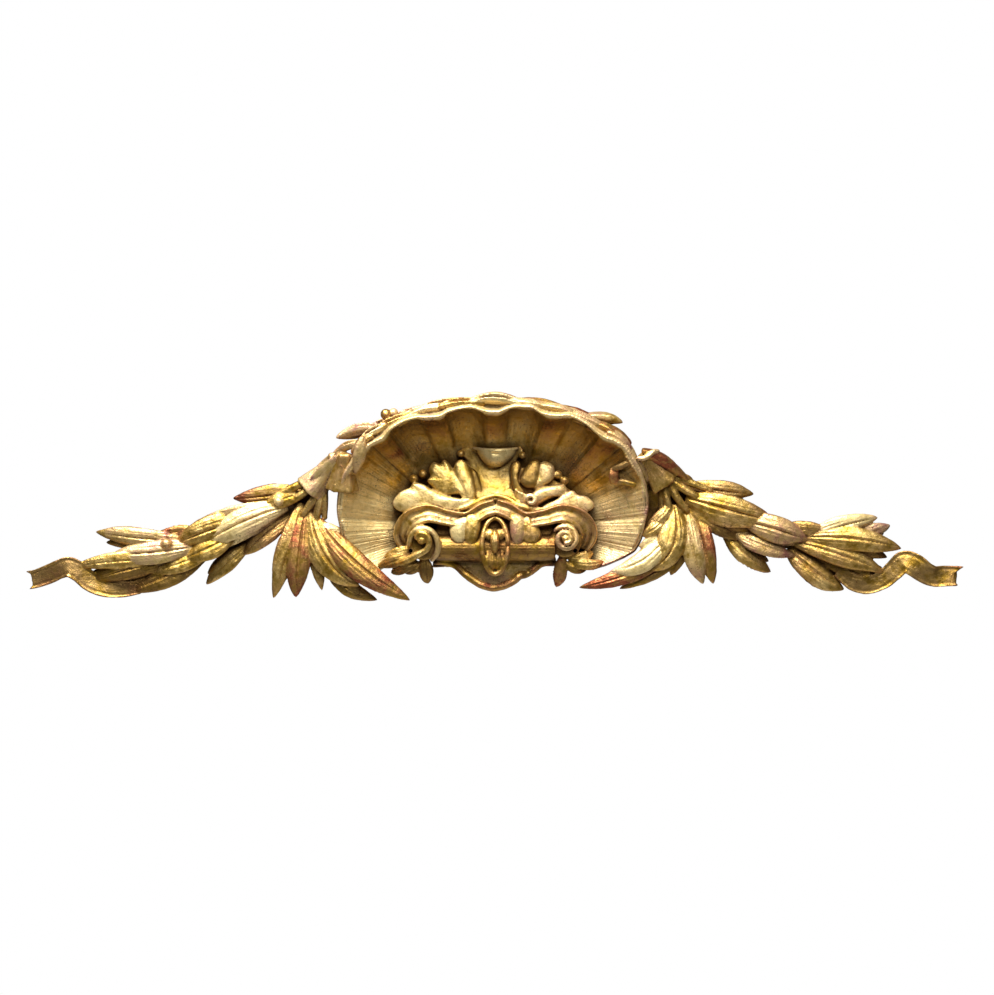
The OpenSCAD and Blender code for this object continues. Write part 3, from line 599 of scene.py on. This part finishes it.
def makeCartouche():
    def roll(u, v):
        x = -68 + 142 * u
        radius = cartouche["rollRadius"] * (1 + 0.07 * np.cos((u - 0.5) * 5.6)) * 0.97
        turn = np.pi * (np.clip(v / 0.7, 0, 1) - 0.5)
        y = cartouche["rollY"] + radius * np.where(v < 0.7, np.sin(turn),
                                                   stops(v, (0.7, 1), (0.8, 1), (0.9, -1), (1, -1)))
        z = np.where(v < 0.7, cartouche["rollZ"] + radius * np.cos(turn),
                     stops(v, (0.7, cartouche["rollZ"]), (0.8, -6), (0.9, -6), (1, cartouche["rollZ"])))
        return np.stack([x, y, z], 1), y
    # the roll's dark tone is painted shade, as it lies under the band
    layGrid("roll", 60, 70, roll, (0.3, 0.9, 0))
    for side in (-1, 1):
        bandHalf(side)
    # a dark pad behind the roll and band, painted shade in the gap
    pad([(-66, 2), (-68, 26), (-50, 40), (2, 50), (56, 40), (74, 26), (72, 2)], (2, 22), 44, 5, "dark", back=0)
    # the cloth lobes that hang from the band over the roll
    pad([(-50, 30), (-51, 22), (-48, 14), (-42, 10), (-36, 11), (-33, 16), (-31, 26), (-30, 40), (-46, 36)],
        (-40, 24), 57, 5, "pale", back=40)
    pad([(-35, 30), (-34, 18), (-31, 11), (-25, 9), (-19, 12), (-16, 20), (-14, 32), (-16, 42), (-30, 42)],
        (-25, 26), 58, 5, "gold", back=40)
    pad([(21, 42), (20, 28), (21, 16), (25, 9), (31, 9), (36, 13), (38, 22), (38, 36), (30, 42)],
        (29, 26), 58, 5, "rose", back=40)
    pad([(35, 36), (34, 22), (36, 13), (43, 10), (51, 11), (57, 17), (55, 26), (48, 32), (42, 40)],
        (45, 23), 57, 5, "gold", back=40)
    # volutes
    rope([(-100, 4, 54), (-97, 17, 58), (-90, 25, 60), (-79, 26, 61), (-70, 20, 60), (-65, 8, 58), (-67, -4, 54),
          (-74, -13, 48)], [2.5, 3.4, 3.6, 3.8, 3.8, 3.6, 3.2, 2.4], tone="rose")
    rope([(-92, 13, 62), (-87, 20, 65), (-79, 19, 66), (-75, 11, 65), (-78, 2, 62), (-88, -4, 57), (-101, -11, 50),
          (-116, -16, 42)], [2.6, 3.4, 3.6, 3.6, 3.8, 4.2, 4.4, 3.0], tone="gold")
    berry(-84, 13, 62, 5.5)
    rope(spiral(86, 14, 58, 150, 1.75, 16.5, 4.5, 9, -1), [3.4] * 20 + [3.0] * 5, tone="rose")
    berry(86, 14, 64, 4.5)
    # the pads behind the volutes take the dark tone, painted shade
    for cx, cy in ((-82, 8), (86, 11)):
        pad([(cx + 19 * math.cos(a), cy + 19 * math.sin(a)) for a in np.arange(0, 6.28, 0.35)], (cx, cy), 50, 4,
            "dark", back=0)
    # the boss: an oval frame round a bud, with reeds under it
    oval = [(2.4 + 15.5 * math.cos(a), 5.5 + 33 * math.sin(a), 63 - 7 * abs(math.sin(a)) ** 2)
            for a in np.linspace(0, 2 * math.pi, 33)]
    rope(oval, 2.8, tone="gold", steps=120)
    # the field inside the oval and the reeds under it take the dark tone, painted shade
    pad([(2.4 + 15 * math.cos(a), 5.5 + 32 * math.sin(a)) for a in np.arange(0, 6.28, 0.25)], (2.4, 5.5),
        lambda x, y: 54 - 0.009 * y ** 2, 3, "dark", back=0)
    for x, tall in ((-6, 13), (-0.5, 15), (5.5, 15), (11, 13)):
        rope([(x, -8 + tall * 0.6, 59), (x, -14, 60), (x * 0.9 + 0.3, -8 - tall, 54)], [2.2, 2.9, 2.0], tone="dark")
    berry(-4, 19, 58, 6.5, tall=1.1)
    berry(8, 19, 58, 6.5, tall=1.1)
    rope([(2.2, 25, 60), (2.2, 12, 66), (2.2, -3, 62)], [3, 5.5, 3], tone="gold")
    # the apron under the roll
    edge = [(-72, -20), (-58, -18), (-44, -23), (-33, -33), (-21, -42), (-10, -47), (2, -49), (15, -46), (25, -41),
            (32, -35), (40, -33), (49, -27), (57, -21), (65, -19), (74, -18)]
    pad(edge + [(72, -6), (40, -4), (2, -2), (-40, -4), (-64, -6)], (2, -20),
        lambda x, y: 32 - 0.16 * np.abs(x - 2), 10, "rose", back=-6)
    rope([(x, y + 5, 30 + (6 if abs(x) < 40 else 0)) for x, y in edge], [3] + [4.6] * 13 + [3], tone="red")
    # the dark tone on the leaves under the volutes is painted shade
    leaf([-80, -8, 44], [-80, -24, 42], [-77, -40, 34], 17, 0, "dark", blunt=0.5, thick=14)
    leaf([82, -8, 44], [80, -26, 40], [75, -44, 32], 16, 0, "red", blunt=0.5, thick=14)
    for row in [(-96, -6, -116, -12, -138, -19, 15, "dark"), (-90, -12, -106, -20, -122, -27, 14, "dark"),
                (-86, -14, -96, -22, -106, -26, 12, "dark"), (-98, 2, -114, -2, -130, -9, 12, "gold"),
                (88, -6, 104, -8, 120, -1, 13, "gold"), (92, -12, 112, -17, 134, -13, 13, "gold"),
                (86, -14, 98, -22, 112, -22, 11, "dark")]:
        bx, by, mx, my, tx, ty, width, tone = row
        leaf([bx, by, 42], [mx, my, 42], [tx, ty, 30], width, 0, tone, blunt=0.5, thick=16)
    print("cartouche laid")


def makeFoliage():
    def slope(x, y):
        return 50 - 0.12 * (y - 50)

    pad([(-23, 53), (-40, 46), (-63, 47), (-84, 53), (-98, 48), (-109, 46), (-118, 53), (-117, 61), (-109, 70),
         (-98, 75), (-95, 80), (-84, 79), (-73, 73), (-58, 66), (-40, 62), (-31, 61), (-22, 60)], (-68, 60),
        lambda x, y: 52 - 0.02 * np.abs(x + 60), 5, (0.1, 0, 0.35))
    pad([(-23, 55), (-33, 57), (-39, 66), (-52, 66), (-63, 67), (-73, 76), (-78, 83), (-74, 88), (-76, 96), (-71, 105),
         (-63, 103), (-58, 108), (-52, 103), (-47, 97), (-40, 88), (-28, 78), (-22, 66)], (-50, 84),
        lambda x, y: slope(x, y) + 1, 5, "gold")
    pad([(-30, 60), (-36, 72), (-44, 88), (-46, 99), (-43, 106), (-37, 108), (-31, 103), (-25, 90), (-22, 75),
         (-21, 62)], (-33, 84), lambda x, y: slope(x, y) + 3, 4, "gold")
    # these two pads take the dark tone, painted shade beside the neck
    pad([(25, 105), (30, 106), (33, 101), (30, 90), (32, 77), (38, 67), (30, 63), (24, 75), (21, 90), (21, 99)],
        (27, 88), lambda x, y: slope(x, y) - 1, 4, "dark")
    pad([(40, 74), (32, 82), (36, 94), (44, 105), (50, 108), (56, 104), (56, 90), (52, 76)], (45, 90),
        lambda x, y: slope(x, y), 5, "dark")
    pad([(48, 73), (52, 90), (56, 103), (63, 106), (72, 101), (73, 92), (71, 84), (62, 77)], (61, 89),
        lambda x, y: slope(x, y) - 1, 5, "rose")
    pad([(26, 72), (33, 68), (44, 67), (53, 73), (63, 76), (82, 78), (88, 73), (85, 66), (72, 63), (59, 57),
         (53, 53), (46, 50), (36, 53), (28, 60)], (50, 64), lambda x, y: 51 - 0.04 * np.abs(x - 50), 6, "rose")
    pad([(55, 47), (63, 55), (74, 60), (88, 69), (95, 71), (101, 66), (111, 64), (120, 55), (116, 48), (104, 45),
         (93, 50), (82, 47), (69, 45)], (84, 56), lambda x, y: 52 - 0.03 * np.abs(x - 70), 4, (0.1, 0, 0.3))
    # the neck between the leaves, hollow down its face, and the half cup that crowns it
    neck = [(-26, 54), (-24, 75), (-27, 94), (-33, 108), (-40, 118), (-24, 128), (2, 131), (28, 128), (36, 118),
            (28, 106), (24, 94), (23, 78), (27, 67), (32, 56), (20, 52), (2, 54), (-12, 53)]
    pad(neck, (0, 88), lambda x, y: 16 + 0.0068 * np.abs(y - 118) ** 2 + 0.012 * np.abs(x) ** 2, 6.5, "gold",
        roundness=5)
    pad([(-20, 121), (-10, 118), (2, 117), (15, 118), (27, 121), (26, 114), (20, 107), (11, 101), (3, 99), (-7, 102),
         (-15, 110)], (3, 113), 32, 13, "pale", roundness=2.6)
    rope([(-25, 122, 34), (-10, 119.5, 41), (3, 118.5, 44), (17, 119.5, 41), (31, 122, 34)], [1.5, 2.6, 3, 2.6, 1.5],
         tone="pale")
    rope([(-31, 52, 46), (-30, 72, 46), (-33, 92, 42), (-40, 106, 38)], [1.5, 2, 2, 1.5], tone="red")
    rope([(-25, 54, 47), (-24, 74, 46), (-28, 100, 40)], [1.5, 2, 1.5], tone="red")
    # the lower edge of the foliage, which runs like a wave over the band
    rope([(-60, 50, 50), (-40, 50, 52), (-22, 56, 52), (-8, 63, 50), (4, 65, 50), (16, 62, 50), (30, 54, 52),
          (48, 49, 52), (66, 49, 50)], [2, 3.5, 4, 3, 3, 3, 4, 3.5, 2], tone="gold")
    rope(spiral(45, 60, 56, 200, 1.0, 6.5, 3.5, 2, -1), 2.6, tone="pale", steps=40)
    for x, y, z, size in ((-94, 85, 38, 5.4), (-83, 91, 38, 5.4), (-38, 115, 38, 4.6), (35, 113, 38, 4.6),
                          (77, 90, 40, 5.4), (85, 83, 40, 5.4)):
        berry(x, y, z, size)
        # the stalks behind the berries take the dark tone, painted shade
        rope([(x, y, 4), (x, y + 0.1, z * 0.5), (x, y + 0.2, z)], size * 0.8, tone="dark", steps=10)
    # the wood that the leaves are cut from, in the dark tone as painted shade
    for side in (-1, 1):
        pad([(middleX + side * x, y) for x, y in ((14, 44), (60, 40), (104, 48), (96, 66), (70, 84), (50, 96), (26, 96),
                                                  (16, 70))], (middleX + side * 52, 66), 40, 3, "dark", back=0)
    print("foliage laid")


# One skin over the pieces of each part, as the gesso gives the real carving
finish = {"voxel": 0.95, "triangles": 190000, "nailRadius": 2.5,
          "nailX": 97.5, "bore": 150, "unevenness": 0.9, "webTop": 6, "webThick": 1.5,
          "nearRounds": 5, "wideRounds": 35}
handCut = bpy.data.textures.new("handCut", "CLOUDS")
handCut.noise_scale = 11
handCut.noise_depth = 2


def neighbourMean(values, edges, count):
    return np.stack([(np.bincount(edges[:, 0], values[edges[:, 1], k], len(values))
                      + np.bincount(edges[:, 1], values[edges[:, 0], k], len(values))) / count for k in range(3)], 1)


def readWear(piece):
    # how far each point stands out of the surface near it, and out of a wider stretch of it
    mesh = piece.data
    points = np.empty(len(mesh.vertices) * 3)
    mesh.vertices.foreach_get("co", points)
    points = points.reshape(-1, 3)
    normals = np.empty(len(mesh.vertices) * 3)
    mesh.vertices.foreach_get("normal", normals)
    normals = normals.reshape(-1, 3)
    edges = np.empty(len(mesh.edges) * 2, dtype=np.int64)
    mesh.edges.foreach_get("vertices", edges)
    edges = edges.reshape(-1, 2)
    count = np.maximum(np.bincount(edges.ravel(), minlength=len(points)), 1).astype(float)
    soft = points.copy()
    for name, rounds in (("edgeWear", finish["nearRounds"]), ("hollow", finish["wideRounds"])):
        for _ in range(rounds):
            soft = neighbourMean(soft, edges, count)
        level = ((points - soft) * normals).sum(1) / finish["voxel"]
        mesh.attributes.new(name, "FLOAT", "POINT").data.foreach_set("value", level)


def skin(name):
    pickOnly(*carving)
    bpy.ops.object.join()
    pattern = bpy.context.object            # kept for its tones until they are copied over
    carving.clear()
    pickOnly(pattern)
    bpy.ops.object.duplicate()
    piece = bpy.context.object
    piece.name = name
    useModifier(piece, "REMESH", mode="VOXEL", voxel_size=finish["voxel"], adaptivity=0.0)
    useModifier(piece, "DISPLACE", texture=handCut, strength=finish["unevenness"], mid_level=0.5,
                texture_coords="LOCAL")
    useModifier(piece, "SMOOTH", factor=0.5, iterations=2)
    modifier = piece.modifiers.new("Tones", "DATA_TRANSFER")
    modifier.object = pattern
    modifier.use_vert_data = True
    modifier.data_types_verts = {"COLOR_VERTEX"}
    modifier.vert_mapping = "POLYINTERP_NEAREST"
    bpy.ops.object.datalayout_transfer(modifier=modifier.name)
    bpy.ops.object.modifier_apply(modifier=modifier.name)
    readWear(piece)
    # the back is sawn flat at the wall and the nail holes are bored
    bpy.ops.object.select_all(action="DESELECT")
    bpy.ops.mesh.primitive_cube_add(size=1, location=(0, 60, -50), scale=(1400, 500, 100))
    tools = [bpy.context.object]
    for side in (-1, 1):
        if name in ("shell", "cartouche"):
            # a bore from the front and one from the back leave a web between them
            for middle in (finish["webTop"] + finish["bore"] / 2,
                           finish["webTop"] - finish["webThick"] - finish["bore"] / 2):
                bpy.ops.mesh.primitive_cylinder_add(vertices=32, radius=finish["nailRadius"], depth=finish["bore"],
                                                    location=(side * finish["nailX"], 0, middle))
                tools.append(bpy.context.object)
    for tool in tools:
        pickOnly(tool)
        bpy.ops.object.transform_apply(location=True, rotation=True, scale=True)
        useModifier(piece, "BOOLEAN", operation="DIFFERENCE", object=tool, solver="MANIFOLD")
    pickOnly(pattern, *tools)
    bpy.ops.object.delete()
    piece.data.calc_loop_triangles()
    share = finish["triangles"] / len(piece.data.loop_triangles)
    if share < 1:
        useModifier(piece, "DECIMATE", decimate_type="COLLAPSE", ratio=share)
    # stand it up in metres against the wall
    pickOnly(piece)
    piece.rotation_euler = (math.radians(90), 0, 0)
    piece.scale = (0.001, 0.001, 0.001)
    bpy.ops.object.transform_apply(location=True, rotation=True, scale=True)
    bpy.ops.object.shade_smooth()
    piece.data.materials.clear()
    piece.data.materials.append(giltwood)
    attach(piece, "root")
    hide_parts("crest")
    print(name, "skinned")


# Gilding
gilding = {
    "leafGold": (0.88, 0.60, 0.19, 1), "paleGold": (0.96, 0.76, 0.36, 1), "oliveGold": (0.38, 0.22, 0.028, 1),
    "bole": (0.34, 0.10, 0.045, 1), "mauve": (0.44, 0.22, 0.17, 1), "umber": (0.15, 0.068, 0.011, 1),
    "dirtAndPaintedShade": (0.06, 0.02, 0.003, 1), "bareWood": (0.20, 0.115, 0.055, 1),
    "metal": 0.92, "specular": 0.15, "paintedShadeReach": 0.018, "bump": 0.6, "bumpDepth": 0.0014}


def gildedWood():
    material = bpy.data.materials.new("giltwood")
    material.use_nodes = True
    nodes, links = material.node_tree.nodes, material.node_tree.links
    nodes.clear()

    def add(kind, **values):
        node = nodes.new(kind)
        for key, value in values.items():
            if key[0] == "_":
                node.inputs[int(key[1:]) if key[1:].isdigit() else key[1:]].default_value = value
            else:
                setattr(node, key, value)
        return node

    def wire(source, target, out=0, into=0):
        links.new(source.outputs[out], target.inputs[into])

    def maths(kind, a, b=0.5, c=0.5, clamp=False):
        node = add("ShaderNodeMath", operation=kind, use_clamp=clamp)
        for i, x in enumerate((a, b, c)):
            if isinstance(x, (int, float)):
                node.inputs[i].default_value = x
            else:
                links.new(x, node.inputs[i])
        return node.outputs[0]

    def between(x, low, high, top=1.0):
        node = add("ShaderNodeMapRange")
        node.inputs[1].default_value = low
        node.inputs[2].default_value = high
        node.inputs[4].default_value = top
        links.new(x, node.inputs[0])
        return node.outputs[0]

    def mixColour(amount, a, b):
        node = add("ShaderNodeMix", data_type="RGBA")
        for i, x in ((0, amount), (6, a), (7, b)):
            if isinstance(x, tuple):
                node.inputs[i].default_value = x
            else:
                links.new(x, node.inputs[i])
        return node.outputs[2]

    coord = add("ShaderNodeTexCoord").outputs["Object"]

    def noise(scale, detail=4.0, rough=0.6, warp=0.0):
        node = add("ShaderNodeTexNoise", _Scale=scale, _Detail=detail, _Roughness=rough, _Distortion=warp)
        links.new(coord, node.inputs["Vector"])
        return node.outputs["Fac"]

    tone = add("ShaderNodeAttribute", attribute_name="tone")
    parts = add("ShaderNodeSeparateColor")
    wire(tone, parts)
    bole, grimeAndPaintedShade, pale = parts.outputs[0], parts.outputs[1], parts.outputs[2]
    across = tone.outputs["Alpha"]
    edge = add("ShaderNodeAttribute", attribute_name="edgeWear").outputs["Fac"]
    deep = add("ShaderNodeAttribute", attribute_name="hollow").outputs["Fac"]

    shelter = add("ShaderNodeAmbientOcclusion", samples=6, _Distance=gilding["paintedShadeReach"])
    paintedFoldShade = between(shelter.outputs["AO"], 0.78, 0.3, 0.93)          # painted shade: darker the more a spot is shut in by what stands round it
    broad, patchy, fine, grit = noise(9, 3), noise(34, 5, 0.65), noise(130, 5, 0.7), noise(420, 3, 0.7)
    # gold leaf: pale where it is burnished, and on the lower bowl as painted light; olive where it is dull
    mottle = maths("ADD", maths("MULTIPLY", patchy, 0.6), maths("MULTIPLY", fine, 0.4))
    gold = mixColour(between(mottle, 0.4, 0.58), gilding["oliveGold"], gilding["leafGold"])
    gold = mixColour(between(maths("ADD", maths("MULTIPLY", pale, 0.5), mottle), 0.5, 0.8, 0.85), gold,
                     gilding["paleGold"])
    # bole shows on rubbed edges and on the redder leaves
    rub = between(maths("ADD", edge, maths("MULTIPLY", maths("ADD", fine, broad), 0.9)), 1.08, 1.5, 0.75)
    stained = maths("ADD", bole, between(broad, 0.5, 0.62, 0.4))
    redder = maths("MULTIPLY", stained, between(maths("ADD", maths("MULTIPLY", fine, 0.5), patchy), 0.62, 0.9, 1.3))
    redClay = mixColour(maths("MULTIPLY", pale, 2.0, clamp=True), gilding["bole"], gilding["mauve"])
    gold = mixColour(maths("MAXIMUM", rub, redder, clamp=True), gold, redClay)
    # the middle tone value is grime, and painted shade on the dark-toned pieces and the upper bowl; it turns the gold
    # to umber
    umberGrimeAndShade = maths("MULTIPLY", grimeAndPaintedShade, between(maths("ADD", patchy, maths("MULTIPLY", fine, 0.4)), 0.45, 0.85))
    gold = mixColour(umberGrimeAndShade, gold, gilding["umber"])
    # dirt lies in the hollows and on the grimy leaves, and painted shade lies in the folds
    low = between(deep, -0.3, -1.5)
    crease = between(edge, -0.08, -0.36)
    dirtAndPaintedShade = maths("MAXIMUM", maths("MULTIPLY", low, 0.6), crease)
    dirtAndPaintedShade = maths("MAXIMUM", maths("MULTIPLY", dirtAndPaintedShade, between(patchy, 0.2, 0.6, 1.0)), paintedFoldShade)
    dirtAndPaintedShade = maths("MAXIMUM", dirtAndPaintedShade, 0.0, clamp=True)
    # the dark brown here is dirt in the hollows and painted shade in the folds
    gold = mixColour(dirtAndPaintedShade, gold, gilding["dirtAndPaintedShade"])
    # dark flecks where the leaf is lost
    flecks = maths("MULTIPLY", between(grit, 0.57, 0.66, 0.9), between(patchy, 0.42, 0.58))
    crackle = add("ShaderNodeTexVoronoi", feature="DISTANCE_TO_EDGE", _Scale=95.0)
    links.new(coord, crackle.inputs["Vector"])
    cracks = maths("MULTIPLY", between(crackle.outputs["Distance"], 0.035, 0.0), between(broad, 0.42, 0.62, 0.7))
    flecks = maths("MAXIMUM", flecks, cracks)
    gold = mixColour(flecks, gold, gilding["dirtAndPaintedShade"])

    # the sawn back, against the wall, is bare wood
    where = add("ShaderNodeSeparateXYZ")
    links.new(coord, where.inputs[0])
    back = between(where.outputs[1], -0.0016, -0.0006)
    gold = mixColour(back, gold, gilding["bareWood"])

    shader = add("ShaderNodeBsdfPrincipled")
    shader.inputs["Specular IOR Level"].default_value = gilding["specular"]
    links.new(gold, shader.inputs["Base Color"])
    shine = maths("SUBTRACT", gilding["metal"], maths("MULTIPLY", maths("MAXIMUM", dirtAndPaintedShade, flecks), 0.75), clamp=True)
    shine = maths("SUBTRACT", shine, maths("MULTIPLY", pale, 0.45), clamp=True)
    shine = maths("SUBTRACT", shine, back, clamp=True)
    links.new(shine, shader.inputs["Metallic"])
    rough = maths("ADD", between(fine, 0.3, 0.7, 0.2), 0.31)
    rough = maths("ADD", rough, maths("MULTIPLY", dirtAndPaintedShade, 0.3), clamp=True)
    links.new(rough, shader.inputs["Roughness"])
    # tool strokes run along the leaves and lobes, over the uneven gesso
    strokes = maths("SINE", maths("ADD", maths("MULTIPLY", across, 1.7), maths("MULTIPLY", patchy, 5.0)))
    strokes = maths("MULTIPLY", strokes, between(patchy, 0.4, 0.7))
    relief = maths("ADD", maths("MULTIPLY", strokes, 0.22), maths("MULTIPLY", fine, 0.9))
    relief = maths("ADD", relief, maths("MULTIPLY", patchy, 2.2))
    relief = maths("ADD", relief, maths("MULTIPLY", grit, 0.22))
    relief = maths("SUBTRACT", relief, maths("MULTIPLY", flecks, 0.25))
    bump = add("ShaderNodeBump", _Strength=gilding["bump"], _Distance=gilding["bumpDepth"])
    links.new(relief, bump.inputs["Height"])
    wire(bump, shader, 0, "Normal")
    output = add("ShaderNodeOutputMaterial")
    wire(shader, output)
    return material


giltwood = gildedWood()
makeShell()
makeBinding()
skin("shell")
makeCartouche()
makeFoliage()
skin("cartouche")
makeLeftCuffs()
makeLeftBough()
ribbon(leftRibbon)
skin("leftBough")
makeRightCuffs()
makeRightBough()
ribbon(rightRibbon, ribbons["rightSlant"])
skin("rightBough")

# Floor, light and camera
view = {"aimX": 0.0048, "aimZ": 0.063, "width": 1.193, "distance": 4.2, "floorZ": -2.4}
bpy.ops.object.select_all(action="DESELECT")
bpy.ops.mesh.primitive_plane_add(size=6, location=(0, 0, view["floorZ"]))
floor = bpy.context.object
floor.name = "floor"
floorMaterial = bpy.data.materials.new("paleFloor")
floorMaterial.use_nodes = True
floorMaterial.node_tree.nodes["Principled BSDF"].inputs["Base Color"].default_value = (0.86, 0.86, 0.86, 1)
floorMaterial.node_tree.nodes["Principled BSDF"].inputs["Roughness"].default_value = 0.8
floor.data.materials.append(floorMaterial)

world = bpy.data.worlds.new("studio")
bpy.context.scene.world = world
world.use_nodes = True
studioLight = {"seen": 1.0, "cast": 0.09}
background = world.node_tree.nodes["Background"]
background.inputs[0].default_value = (1, 1, 1, 1)
rays = world.node_tree.nodes.new("ShaderNodeLightPath")
amount = world.node_tree.nodes.new("ShaderNodeMapRange")
amount.inputs[3].default_value, amount.inputs[4].default_value = studioLight["cast"], studioLight["seen"]
world.node_tree.links.new(rays.outputs["Is Camera Ray"], amount.inputs[0])
world.node_tree.links.new(amount.outputs[0], background.inputs[1])
bpy.context.scene.view_settings.view_transform = "Standard"


def lamp(name, place, aim, size, power, colour=(1, 1, 1)):
    bpy.ops.object.light_add(type="AREA", location=place)
    light = bpy.context.object
    light.name = name
    light.data.shape = "RECTANGLE"
    light.data.size, light.data.size_y = size
    light.data.energy = power
    light.data.color = colour
    light.data.spread = math.radians(100)
    light.rotation_euler = (Vector(aim) - Vector(place)).to_track_quat("-Z", "Y").to_euler()


lamp("overhead", (-0.5, -1.25, 2.2), (0, 0, 0.03), (2.0, 0.9), 75, (1.0, 0.98, 0.95))
lamp("front", (0.5, -2.7, 1.5), (0, 0, 0.05), (2.0, 0.8), 13)

bpy.ops.object.camera_add(location=(view["aimX"], -view["distance"], view["aimZ"]), rotation=(math.radians(90), 0, 0))
camera = bpy.context.object
camera.data.sensor_width = 36
camera.data.lens = 36 * view["distance"] / view["width"]
camera.data.clip_end = 100
bpy.context.scene.camera = camera
